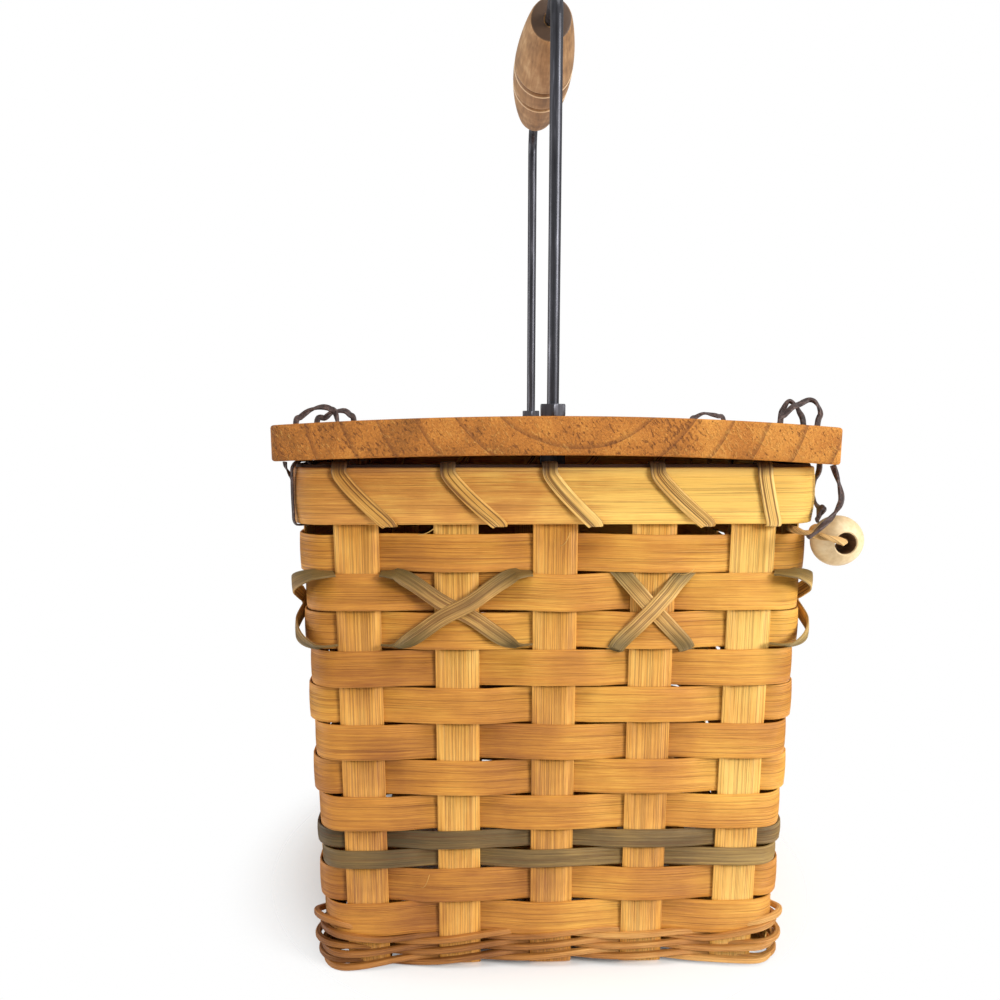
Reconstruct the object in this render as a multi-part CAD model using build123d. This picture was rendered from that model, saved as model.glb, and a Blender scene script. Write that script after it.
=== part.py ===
from build123d import *
import math
import os

# Woven splint basket with a wooden board lid, a steel rod handle with a turned wooden grip,
# leather laces and a wooden bead. Millimetres. The origin is on the table under the basket's
# centre, +X to the right, +Y away from the viewer, +Z up.

# ---- driving dimensions -------------------------------------------------------------------
wall = 131.5            # half width of the wall under the rim, at the middle of the stakes
wall_lean = 4.5         # how much less that half width is at the base
corner_r = 14.0         # corner radius of the wall at the middle of the stakes
stake_w = 23.0
stake_t = 1.2
stake_pitch = 50.8
stakes_half = 2         # stakes on each side of a wall's middle one
stake_below_rim = 1.2   # how far a stake ends under the rim's top
reed_t = 1.0            # thickness of the flat weavers
row_w = 19.6            # height of a plain weaver
green_w = 10.4          # height of a green weaver
row_gap = 0.8           # gap between one weaver and the next
weave_gap = 0.15        # clearance between a weaver and a stake
strand_d = 3.0          # round reed of the base twining
strand_gap = 0.2        # gap between twining rounds
rounds = 3              # rounds of twining
x_w = 7.0               # width of the green cross strips
x_t = 1.0
x_bulge = 2.2           # how far a strip stands out where it goes round a corner
cross_rows = 3          # rows counted from the top that the crosses span
x_end_gap = 0.5         # gap between a cross strip's end and its stake
rim_gap = 5.4           # open gap between the top row and the rim
rim_h = 26.0
rim_out_t = 4.1
rim_in_t = 3.6
rim_clear = 0.3         # clearance between a stake and a rim band
filler_d = 4.5
lash_w = 8.5
lash_t = 1.0
lash_run = 28.0         # how far a lashing runs sideways over the rim
lash_clear = 0.15
seat = 0.3              # clearance of pieces that rest on one another
lid_x = 281.0
lid_y = 286.0
lid_t = 19.0
lid_cup = 3.0           # how much higher the lid's middle is than its ends
lid_corner_r = 3.0
rod_d = 6.35
rod_y = 106.0           # distance of each upright from the middle
rod_bend = 15.0
rod_tail = 1.5          # thread that shows under the lower nut
nut_af = 12.7
nut_h = 6.6
thread_clear = 0.1      # clearance of a rod in its nut and in the lid
grip_z = 513.5          # height of the grip's axis
grip_len = 137.0
grip_d = 35.6
grip_end_d = 22.0
grip_bore_clear = 0.05
groove_y = 12.0         # distance of each groove from the grip's middle
groove_w = 6.0
groove_d = 2.4
lace_d = 3.2            # width of the flat laces
lace_t = 2.0
lace_hole_clear = 0.3
arch_y = -118.0         # line of the front laces
arch_rear_y = 8.0
strap_w = 4.0           # hinge lace around the rim
strap_t = 1.2
bead_d = 26.0
bead_bore_d = 8.6
bead_x = 144.8
bead_y = -132.0
bead_z = 242.0
tie_d = 3.6
tie_x = 122.0
knot_d = 10.4
knot_back = 4.8         # how far the knot's middle lies behind the bead

# ---- derived ------------------------------------------------------------------------------
half_flat = wall - corner_r
side_len = 2 * half_flat + math.pi / 2 * corner_r
sway = stake_t / 2 + weave_gap + reed_t / 2
edge = stake_w / 2 + 1.0
strand_sway = stake_t / 2 + weave_gap + strand_d / 2
strand_rise = strand_d / 2 + 0.1
round_pitch = 2 * (strand_d / 2 + strand_rise) + strand_gap
twine_z0 = strand_d / 2 + strand_rise + strand_gap
twine_top = twine_z0 + (rounds - 1) * round_pitch + strand_d / 2 + strand_rise

heights = [row_w, row_w, green_w, green_w] + [row_w] * 8   # from the base up
row_z = []
z = twine_top + row_gap
for h in heights:
    row_z.append(z)
    z += h + row_gap
wall_top = z - row_gap
rim_z = wall_top + rim_gap
rim_top = rim_z + rim_h
in_rim = stake_t / 2 + rim_clear
filler_lift = math.sqrt((filler_d / 2) ** 2 - in_rim ** 2) + lash_clear
filler_z = rim_top + filler_lift
lash_in_top = filler_z + filler_d / 2 + lash_clear
lash_top = lash_in_top + lash_t
rim_out = in_rim + rim_out_t
rim_in = in_rim + rim_in_t
lash_out = rim_out + lash_clear
lash_in = rim_in + lash_clear
t_flat = stakes_half * stake_pitch + edge                # the corner's stretch starts here
lid_r = ((lid_x / 2) ** 2 + lid_cup ** 2) / (2 * lid_cup)


def lid_drop(x):
    """how much lower the lid's underside is at x than at its middle"""
    return lid_r - math.sqrt(lid_r ** 2 - x ** 2)


strap_top = lash_in_top + strap_t
lid_z = strap_top + seat + lid_drop(wall + lash_out)   # underside at the middle


def lid_under(x):
    return lid_z - lid_drop(x)


def lid_over(x):
    return lid_under(x) + lid_t


def turn(x, y, k):
    return [(x, y), (-y, x), (-x, -y), (y, -x)][k % 4]


def lean(z):
    """how much less the wall's half width is at the height z than at its top"""
    return wall_lean * (1 - min(1.0, max(0.0, z / wall_top)))


def around(s, off, z):
    """point of the wall at the distance s along its top's middle line, off outwards, at the height z"""
    k = math.floor(s / side_len + 0.5)
    t = s - k * side_len
    d = lean(z)
    rest = side_len / 2 - t_flat
    u = abs(t) if abs(t) <= t_flat else t_flat + (abs(t) - t_flat) * (rest - d) / rest
    if u <= half_flat - d:
        x, y = t, -(wall - d + off)
    else:
        a = (u - half_flat + d) / corner_r
        x = math.copysign(half_flat - d + (corner_r + off) * math.sin(a), t)
        y = -(half_flat - d + (corner_r + off) * math.cos(a))
    return (*turn(x, y, k), z)


def shell(sections, closed):
    """solid through a row of sections of as many points each"""
    n = len(sections)
    m = len(sections[0])
    faces = []

    def tri(a, b, c):
        faces.append(Face(Wire.make_polygon([Vector(*a), Vector(*b), Vector(*c)])))

    for i in range(n if closed else n - 1):
        p, q = sections[i], sections[(i + 1) % n]
        for j in range(m):
            a, b, c, d = p[j], p[(j + 1) % m], q[(j + 1) % m], q[j]
            tri(a, b, c)
            tri(a, c, d)
    if not closed:
        for p in (sections[0], sections[-1]):
            for j in range(1, m - 1):
                tri(p[0], p[j], p[j + 1])
    solid = Solid(Shell(faces))
    return solid if solid.volume > 0 else Solid(Shell([-f for f in faces]))


def save(node, solids):
    solids = [s for item in solids for s in (item.solids() if hasattr(item, "solids") else [item])]
    shape = solids[0] if len(solids) == 1 else Compound(children=solids)
    export_step(shape, f"parts/{node}.step")
    print(node, len(solids), round(sum(s.volume for s in solids)))


os.makedirs("parts", exist_ok=True)
places = [i * stake_pitch for i in range(-stakes_half, stakes_half + 1)]
stake_s = [k * side_len + p for k in range(4) for p in places]

# ---- stakes: straps that run down one wall, woven across the base and up the other ------------
stake_top = rim_top - stake_below_rim
base_gap = 0.3


def strap(lift):
    """side view of one strap; lift[i] says if it passes over the i-th crossing strap"""
    path = []
    for p, up in zip(places, lift):
        level = stake_t + base_gap if up else 0.0
        path += [(p - edge, level), (p + edge, level)]
    foot = wall - lean(0)
    end = foot - stake_t / 2 - 2.0
    path = [(-end, 0.0)] + path + [(end, 0.0)]
    out, inn = [(w + stake_t / 2, w - stake_t / 2) for w in (wall, foot)], stake_t + 1.0
    low = [(-out[0][0], stake_top), (-out[0][0], wall_top), (-out[1][0], 1.5)] + path + [
        (out[1][0], 1.5), (out[0][0], wall_top), (out[0][0], stake_top)]
    high = [(out[0][1], stake_top), (out[0][1], wall_top), (out[1][1], inn)] + [
        (y, zz + stake_t) for y, zz in reversed(path)] + [
        (-out[1][1], inn), (-out[0][1], wall_top), (-out[0][1], stake_top)]
    return low + high


front_back, left_right = [], []
for i, p in enumerate(places):
    pts = strap([(i + j) % 2 == 1 for j in range(len(places))])
    face = Face(Wire.make_polygon([Vector(p - stake_w / 2, y, zz) for y, zz in pts]))
    front_back.append(Solid.extrude(face, Vector(stake_w, 0, 0)))
    pts = strap([(i + j) % 2 == 0 for j in range(len(places))])
    face = Face(Wire.make_polygon([Vector(x, p - stake_w / 2, zz) for x, zz in pts]))
    left_right.append(Solid.extrude(face, Vector(0, stake_w, 0)))
save("stakes_front_back", front_back)
save("stakes_left_right", left_right)


# ---- weavers ----------------------------------------------------------------------------------
def weave_line(odd):
    """stations of a weaver: distance along the wall and offset from the stakes' middle"""
    line = []
    for i, s in enumerate(stake_s):
        off = sway if (i % 2 == 1) == odd else -sway
        line += [(s - edge, off), (s + edge, off)]
        if i % len(places) == len(places) - 1:          # round the corner
            nxt = (i // len(places) + 1) * side_len + places[0] - edge
            for f in (1 / 3, 2 / 3):
                line.append((s + edge + (nxt - s - edge) * f, off * (1 - 2 * f)))
    return line


def weaver(odd, z0, h):
    t = reed_t / 2
    return shell([[around(s, o - t, z0), around(s, o + t, z0), around(s, o + t, z0 + h), around(s, o - t, z0 + h)]
                  for s, o in weave_line(odd)], True)


names = ["row_12", "row_11", "green_row_lower", "green_row_upper"] + [f"row_{n:02d}" for n in range(8, 0, -1)]
for i, name in enumerate(names):
    save(name, [weaver(i % 2 == 1, row_z[i], heights[i])])

# ---- twining at the base: pairs of round reeds that change sides between the stakes ------------
def strand(zc, phase):
    sections = []
    for i, s in enumerate(stake_s):
        off = strand_sway if i % 2 == phase else -strand_sway
        rise = strand_rise if i % 2 == phase else -strand_rise   # rise of the crossing that follows
        nxt = stake_s[i + 1] if i + 1 < len(stake_s) else 4 * side_len + places[0]
        gap = nxt - s - 2 * edge
        stations = [(s - edge, off, 0.0), (s + edge, off, 0.0),
                    (s + edge + gap * 0.33, off * 0.4, rise), (s + edge + gap * 0.67, -off * 0.4, rise)]
        for ss, o, dz in stations:
            ring = []
            for j in range(5):
                a = math.radians(72 * j + 90)
                ring.append(around(ss, o + strand_d / 2 * math.cos(a), zc + dz + strand_d / 2 * math.sin(a)))
            sections.append(ring)
    return shell(sections, True)


for phase, name in ((0, "base_twining_a"), (1, "base_twining_b")):
    save(name, [strand(twine_z0 + n * round_pitch, phase) for n in range(rounds)])

# ---- green crosses over every second stake -----------------------------------------------------
row3_z = row_z[-cross_rows]
row1_z = row_z[-1]
x_low = row3_z + row_gap / 2 + x_w / 2
x_high = row1_z + row_gap / 2 + x_w / 2
x_mid = (x_low + x_high) / 2
x_rise = (x_high - x_low) / 2
x_off = sway + reed_t / 2 + weave_gap + x_t / 2


def cross_strip(s0, left, right, corners, rising, outside):
    """strip from the stake at the left to the one at the right; outside adds to its offset in the middle"""
    stations = []
    for side, reach, corner in ((-1, left, corners[0]), (1, right, corners[1])):
        part = []
        for f, zf, o in ((0.0, 0.0, x_off + outside), (0.14, 0.26, x_off + outside), (0.34, 0.62, x_off + outside),
                         (0.58, 0.93, x_off * 0.85 + outside * 0.3), (0.78, 1.0, x_off * 0.6), (1.0, 1.0, 0.0)):
            bulge = x_bulge * math.sin(math.pi * max(0.0, (f - 0.3) / 0.7)) if corner else 0.0
            part.append((s0 + side * reach * f, x_mid + (side if rising else -side) * x_rise * zf, o + bulge))
        fine = [part[0]]
        for a, b in zip(part, part[1:]):
            fine += [tuple((u + v) / 2 for u, v in zip(a, b)), b]
        part = fine if corner else part
        stations += part[::-1] if side < 0 else part[1:]
    sections = []
    for i, (s, zc, o) in enumerate(stations):
        a, b = stations[max(0, i - 1)], stations[min(len(stations) - 1, i + 1)]
        ds, dz = b[0] - a[0], b[1] - a[1]
        ln = math.hypot(ds, dz)
        us, uz = -dz / ln, ds / ln
        w = x_w / 2
        sections.append([around(s + e * us * w, o + f * x_t / 2, zc + e * uz * w) for e, f in ((-1, -1), (-1, 1), (1, 1), (1, -1))])
    return shell(sections, False)


rising, falling = [], []
total = 4 * side_len
for i, s in enumerate(stake_s):
    if i % 2 == 1:
        before = (s - stake_s[i - 1]) % total - stake_w / 2 - x_end_gap
        after = (stake_s[(i + 1) % len(stake_s)] - s) % total - stake_w / 2 - x_end_gap
        corners = (i % len(places) == 0, i % len(places) == len(places) - 1)
        falling.append(cross_strip(s, before, after, corners, False, 0.0))
        rising.append(cross_strip(s, before, after, corners, True, x_t + 0.2))
save("cross_strips_rising", rising)
save("cross_strips_falling", falling)


# ---- rim -----------------------------------------------------------------------------------------
def rim_ring(off_in, off_out, z0, h):
    a = Rectangle(2 * (wall + off_out), 2 * (wall + off_out))
    a = fillet(a.vertices(), corner_r + off_out)
    b = Rectangle(2 * (wall + off_in), 2 * (wall + off_in))
    b = fillet(b.vertices(), corner_r + off_in)
    return Pos(0, 0, z0) * extrude(a - b, h)


save("rim_outer", [rim_ring(in_rim, rim_out, rim_z, rim_h)])
save("rim_inner", [rim_ring(-rim_in, -in_rim, rim_z, rim_h)])
filler_line = fillet(Rectangle(2 * wall, 2 * wall).vertices(), corner_r).wire()
filler_line = Pos(0, 0, filler_z) * filler_line
fp = Plane(origin=(0, -wall, filler_z), z_dir=(1, 0, 0))
filler = sweep(fp * RegularPolygon(filler_d / 2, 8), path=filler_line)
save("rim_filler", [filler])

lash_profile = [(lash_out, rim_z - lash_clear), (lash_out, rim_top + 0.6), (filler_d * 0.45, lash_in_top),
                (-filler_d * 0.45, lash_in_top), (-lash_in, rim_top + 0.6), (-lash_in, rim_z - lash_clear)]


def loop(s_low, s_high, w, t, profile, across=1, along=1):
    """closed band round the rim: profile is its inner face in offset and height"""
    n = len(profile)
    corners = []
    for i, (o, zz) in enumerate(profile):
        po, pz = profile[i - 1]
        no, nz = profile[(i + 1) % n]
        d1 = Vector(o - po, zz - pz).normalized()
        d2 = Vector(no - o, nz - zz).normalized()
        n1, n2 = Vector(d1.Y, -d1.X), Vector(d2.Y, -d2.X)
        m = (n1 + n2).normalized()
        k = t / max(0.5, m.dot(n1))
        corners.append((s_low if i in (0, n - 1) else s_high, o, zz, o + m.X * k, zz + m.Y * k))
    line = []
    for a, b in zip(corners, corners[1:] + corners[:1]):
        parts = along if a[0] != b[0] else 1
        line += [tuple(u + (v - u) * j / parts for u, v in zip(a, b)) for j in range(parts)]
    sections = []
    for s, o, zz, oo, oz in line:
        sections.append([(*around(s + w * (f / across - 0.5), o, rim_z)[:2], zz) for f in range(across + 1)]
                        + [(*around(s + w * (0.5 - f / across), oo, rim_z)[:2], oz) for f in range(across + 1)])
    return shell(sections, True)


lashes = []
for k in range(4):
    for i in range(len(places)):
        low = k * side_len + places[i] + stake_pitch / 2
        if i == len(places) - 1:
            low = k * side_len + side_len / 2
        lashes.append(loop(low, low - lash_run, lash_w, lash_t, lash_profile, *((3, 11) if i == len(places) - 1 else (1, 1))))
save("rim_lashing", lashes)

# ---- lid --------------------------------------------------------------------------------------------
under = ThreePointArc((-lid_x / 2, 0, lid_under(lid_x / 2)), (0, 0, lid_z), (lid_x / 2, 0, lid_under(lid_x / 2)))
over = ThreePointArc((lid_x / 2, 0, lid_over(lid_x / 2)), (0, 0, lid_z + lid_t), (-lid_x / 2, 0, lid_over(lid_x / 2)))
ends = [Line((lid_x / 2, 0, lid_under(lid_x / 2)), (lid_x / 2, 0, lid_over(lid_x / 2))),
        Line((-lid_x / 2, 0, lid_over(lid_x / 2)), (-lid_x / 2, 0, lid_under(lid_x / 2)))]
lid = Solid.extrude(Face(Wire([under, ends[0], over, ends[1]])), Vector(0, lid_y, 0)).moved(Pos(0, -lid_y / 2, 0))
lid = fillet(lid.edges().filter_by(lambda e: abs(abs(e.center().X) - lid_x / 2) < 0.1 and abs(abs(e.center().Y) - lid_y / 2) < 0.1), lid_corner_r)

# laces: feet (x of each foot, y, height of the arch above the lid)
arches = {
    "hinge_lace_front": [(-133.0, -109.7, arch_y - 3.0, 8.0), (-123.3, -103.5, arch_y + 3.0, 5.5)],
    "closure_lace_front": [(114.0, 134.0, arch_y - 6.0, 10.5), (118.0, 130.0, arch_y + 1.0, 8.5)],
    "closure_lace_rear": [(101.0, 125.0, arch_rear_y, 7.5)],
}
hole_r = lace_d / 2 + lace_hole_clear
for feet in arches.values():
    for x1, x2, y, h in feet:
        for x in (x1, x2):
            lid = lid - Pos(x, y, lid_z + lid_t / 2) * Cylinder(hole_r, 3 * lid_t)
for s in (-1, 1):
    lid = lid - Pos(0, s * rod_y, lid_z + lid_t / 2) * Cylinder(rod_d / 2 + thread_clear, 3 * lid_t)
save("lid_board", [lid])


def rounded(points, radii, parts=3):
    """the points with each corner cut into an arc of the given radius, in a few steps"""
    line = [Vector(*points[0])]
    for a, b, c, r in zip(points, points[1:], points[2:], radii):
        a, b, c = Vector(*a), Vector(*b), Vector(*c)
        u, v = (a - b).normalized(), (c - b).normalized()
        half = math.acos(max(-1.0, min(1.0, u.dot(v)))) / 2
        cut = min(r / math.tan(half), 0.45 * (a - b).length, 0.45 * (c - b).length)
        p, q = b + u * cut, b + v * cut
        line += [p * (1 - f) * (1 - f) + b * 2 * f * (1 - f) + q * f * f for f in [i / parts for i in range(parts + 1)]]
    return line + [Vector(*points[-1])]


def tube(points, radii, section, side=(0, 1, 0)):
    """section, a list of corners, swept along a line with rounded corners"""
    line = rounded(points, radii)
    side = Vector(*side)
    sections = []
    for i, p in enumerate(line):
        t = (line[min(len(line) - 1, i + 1)] - line[max(0, i - 1)]).normalized()
        side = (side - t * side.dot(t)).normalized()
        up = t.cross(side)
        ring = [p + side * u + up * v for u, v in section]
        sections.append([(q.X, q.Y, q.Z) for q in ring])
    return shell(sections, False)


lace = [(lace_d / 2 * a, lace_t / 2 * b) for a, b in ((1, 1), (-1, 1), (-1, -1), (1, -1))]
reed = [(tie_d / 2 * math.cos(math.radians(45 * i + 22.5)), tie_d / 2 * math.sin(math.radians(45 * i + 22.5))) for i in range(8)]


for name, feet in arches.items():
    solids = []
    for x1, x2, y, h in feet:
        r = min(0.42 * (x2 - x1), h - lace_d / 2 - 0.1)
        pts = [(x1, y, lid_under(x1) + 0.2), (x1, y, lid_over(x1) + h - lace_d / 2), (x2, y, lid_over(x2) + h - lace_d / 2),
               (x2, y, lid_under(x2) + 0.2)]
        solids.append(tube(pts, [r, r], lace))
    if name == "closure_lace_front":
        fx, fy = lid_x / 2 - 4.0, -wall - 3.5
        drop = [(fx, fy, lid_under(fx) - seat - 0.4), (fx + 2.5, fy, lid_under(fx) - 12.0), (fx + 2.5, fy - 4.0, lid_under(fx) - 24.0),
                (fx - 3.0, fy - 12.0, bead_z + 9.0), (fx - 10.0, fy - 13.0, bead_z + 1.5), (fx - 15.0, fy - 11.0, bead_z - 3.0)]
        solids.append(tube(drop, [4.0] * 4, lace))
    save(name, solids)

over_lash = lash_t + 0.15       # the strap passes over the corner's lashing
strap_profile = [(lash_out + over_lash, rim_z - lash_clear), (lash_out + over_lash, rim_top + 0.6), (filler_d * 0.45, lash_in_top),
                 (-filler_d * 0.45, lash_in_top), (-lash_in - over_lash, rim_top + 0.6), (-lash_in - over_lash, rim_z - lash_clear)]
s_left = 3 * side_len + half_flat + 2.5
save("hinge_lace_rim", [loop(s_left, s_left, strap_w, strap_t, strap_profile, 4)])

# ---- handle ---------------------------------------------------------------------------------------
rod_low = lid_z - seat - nut_h - rod_tail
rod_line = FilletPolyline((0, -rod_y, rod_low), (0, -rod_y, grip_z), (0, rod_y, grip_z), (0, rod_y, rod_low), radius=rod_bend).wire()
rod = sweep(Plane(origin=rod_line @ 0, z_dir=rod_line % 0) * Circle(rod_d / 2), path=rod_line)
save("handle_rod", [rod])


def nut(y, z0):
    body = Pos(0, y, z0) * extrude(RegularPolygon(nut_af / 2, 6, major_radius=False, rotation=30), nut_h)
    return body - Pos(0, y, z0 + nut_h / 2) * Cylinder(rod_d / 2 + thread_clear, 2 * nut_h)


nut_over = max(lid_over(0), lid_over(nut_af / 2))
save("handle_nuts_upper", [nut(s * rod_y, nut_over) for s in (-1, 1)])
save("handle_nuts_lower", [nut(s * rod_y, lid_z - seat - nut_h) for s in (-1, 1)])

gl, gr, ge = grip_len / 2, grip_d / 2, grip_end_d / 2
steps = 8


def swell(f):
    """radius of the grip at the share f of its half length"""
    return ge + (gr - ge) * math.cos(math.pi / 2 * f) ** 0.8


def turned(outline, bore_r, length, sides=20):
    """turned body about the Y axis from its (radius, y) outline, with a bore"""
    rings = [[(r * math.cos(2 * math.pi * j / sides), y, r * math.sin(2 * math.pi * j / sides)) for j in range(sides)] for r, y in outline]
    return shell(rings, False) - Rot(90, 0, 0) * Cylinder(bore_r, 2 * length)


half = [(gr, 0.0), (gr, groove_y - groove_w / 2), (gr - groove_d, groove_y), (swell(0.2), groove_y + groove_w / 2)]
half += [(swell(i / steps), gl * i / steps) for i in range(2, steps)]
half += [(ge + 0.5, gl - 1.6), (ge - 0.6, gl)]
outline = [(r, -y) for r, y in reversed(half[1:])] + half
grip = turned(outline, rod_d / 2 + grip_bore_clear, grip_len)
save("grip", [Pos(0, 0, grip_z) * grip])

# ---- bead and its tie --------------------------------------------------------------------------------
br, bb = bead_d / 2, bead_bore_d / 2
turns = 10
lip = math.asin(bb / br)
ball = [(br * math.sin(lip + (math.pi - 2 * lip) * i / turns), -br * math.cos(lip + (math.pi - 2 * lip) * i / turns)) for i in range(turns + 1)]
bead = turned(ball, bb, bead_d)
bead = Pos(bead_x, bead_y, bead_z) * bead
save("bead", [bead])
hang = bead_bore_d / 2 - tie_d / 2 - seat
hx, hz = bead_x - hang * 0.7, bead_z + hang * 0.714
front = bead_y - bead_d / 2 - tie_d - 1.0
tie_z = wall_top + rim_gap / 2 - 0.35
tie = tube([(tie_x, -wall + 7.0, tie_z), (tie_x, -wall - 4.5, tie_z), (tie_x + 5.0, -wall - 9.0, tie_z - 0.8),
            (tie_x + 13.0, -wall - 13.5, tie_z - 3.0), (hx, front, hz), (hx, bead_y + bead_d / 2 + knot_back, hz)], [3.0, 6.0, 12.0, 3.0], reed, (0, 0, 1))
kr = knot_d / 2
ky = bead_y + bead_d / 2 + knot_back
knot = shell([[(hx + r * math.cos(math.pi * j / 5), ky + y, hz + r * math.sin(math.pi * j / 5)) for j in range(10)]
              for r, y in [(max(0.6, kr * math.sin(math.pi * i / 6)), -kr * math.cos(math.pi * i / 6)) for i in range(7)]], False)
save("bead_tie", [tie + knot])
print("rim top", rim_top, "lash top", lash_top, "lid under", lid_z, "lid over", lid_z + lid_t)
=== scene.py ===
import math
import random

import bmesh
import bpy
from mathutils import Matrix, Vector


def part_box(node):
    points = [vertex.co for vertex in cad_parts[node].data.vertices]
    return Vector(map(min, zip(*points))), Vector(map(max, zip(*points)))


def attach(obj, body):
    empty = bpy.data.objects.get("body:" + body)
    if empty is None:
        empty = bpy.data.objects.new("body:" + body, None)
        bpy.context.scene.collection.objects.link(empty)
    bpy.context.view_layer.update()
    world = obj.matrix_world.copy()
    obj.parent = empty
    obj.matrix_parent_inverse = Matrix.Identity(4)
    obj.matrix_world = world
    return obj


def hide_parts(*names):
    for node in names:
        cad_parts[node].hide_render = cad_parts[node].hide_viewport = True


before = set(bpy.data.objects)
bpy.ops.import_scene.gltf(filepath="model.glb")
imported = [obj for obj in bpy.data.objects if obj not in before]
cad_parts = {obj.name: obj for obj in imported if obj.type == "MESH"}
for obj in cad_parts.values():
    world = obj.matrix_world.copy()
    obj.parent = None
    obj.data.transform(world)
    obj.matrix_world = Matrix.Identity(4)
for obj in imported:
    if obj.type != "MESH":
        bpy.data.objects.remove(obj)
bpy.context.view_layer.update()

MM = 0.001

# sizes shared with the solids, in millimetres
wall = 131.5            # half width of the wall under the rim, at the middle of the stakes
wall_lean = 4.5         # how much less it is at the base
corner_r = 14.0
stake_w = 23.0
stake_t = 1.2
stake_pitch = 50.8
reed_t = 1.0
row_w = 19.6
green_w = 10.4
weave_gap = 0.15        # between a weaver and a stake
strand_d = 3.0          # the round reed of the twining
rounds = 3
cross_w = 7.0
rim_h = 26.0
lash_w = 8.5
half_flat = wall - corner_r
side_len = 2 * half_flat + math.pi / 2 * corner_r
way_round = 4 * side_len
edge = stake_w / 2 + 1.0                                # from a stake's middle to where a weaver leaves it
places = [i * stake_pitch for i in range(-2, 3)]        # one side's stakes, from its middle
stake_s = [k * side_len + p for k in range(4) for p in places]


def low(name):
    """height of the foot of a piece of the solids, in millimetres"""
    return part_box(name)[0][2] / MM


def high(name):
    """height of its top"""
    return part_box(name)[1][2] / MM


wall_top = high("row_01")
t_flat = places[-1] + edge              # the corner's stretch starts here, past the last stake
rim_z, rim_top = low("rim_outer"), high("rim_outer")
lash_top = high("rim_lashing")
board_over = high("lid_board")
x_low = low("row_03") + 2.4             # the heights at which the crosses' ends go in
x_high = high("row_02") + 0.6
x_mid, x_rise = (x_low + x_high) / 2, (x_high - x_low) / 2


def around(s, off, z):
    """point of the wall, and the way out there: s is the distance along the wall's top from the front's
    middle, off the distance outwards and z the height"""
    side = math.floor(s / side_len + 0.5)
    t = s - side * side_len
    narrower = wall_lean * (1 - min(1.0, max(0.0, z / wall_top)))
    rest = side_len / 2 - t_flat
    u = abs(t) if abs(t) <= t_flat else t_flat + (abs(t) - t_flat) * (rest - narrower) / rest
    if u <= half_flat - narrower:
        x, y, nx, ny = t, -(wall - narrower + off), 0.0, -1.0
    else:
        a = (u - half_flat + narrower) / corner_r
        nx, ny = math.copysign(math.sin(a), t), -math.cos(a)
        x = math.copysign(half_flat - narrower, t) + (corner_r + off) * nx
        y = -(half_flat - narrower) + (corner_r + off) * ny
    for _ in range(side % 4):
        x, y, nx, ny = -y, x, -ny, nx
    return x, y, nx, ny


# materials
def rgb(text):
    """a colour written in hexadecimal, made linear"""
    parts = [int(text[i:i + 2], 16) / 255 for i in (1, 3, 5)]
    return [*(p / 12.92 if p <= 0.04045 else ((p + 0.055) / 1.055) ** 2.4 for p in parts), 1.0]


def node(tree, kind, settings=None, **links):
    """one node with its settings and what its inputs take: a socket is linked and anything else is set. In a
    key an underscore stands for a space and i0 for the first input. The setting "stops" gives a colour
    ramp's places and colours."""
    n = tree.nodes.new(kind)
    for k, v in (settings or {}).items():
        if k != "stops":
            setattr(n, k, v)
            continue
        for _ in v[2:]:
            n.color_ramp.elements.new(0.5)
        for stop, (place, colour) in zip(n.color_ramp.elements, v):
            stop.position, stop.color = place, rgb(colour)
    for k, v in links.items():
        key = int(k[1:]) if k[0] == "i" and k[1:].isdigit() else k.replace("_", " ")
        if isinstance(v, bpy.types.NodeSocket):
            tree.links.new(v, n.inputs[key])
        else:
            n.inputs[key].default_value = v
    return n


# settings that many nodes share
times = {"operation": "MULTIPLY"}
times_plus = {"operation": "MULTIPLY_ADD"}
minus = {"operation": "SUBTRACT"}
unsigned = {"operation": "ABSOLUTE"}
of_colours = {"data_type": "RGBA"}


def new_material(name):
    """an empty material, its node tree and its shader"""
    m = bpy.data.materials.new(name)
    m.use_nodes = True
    t = m.node_tree
    return m, t, t.nodes["Principled BSDF"]


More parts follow.
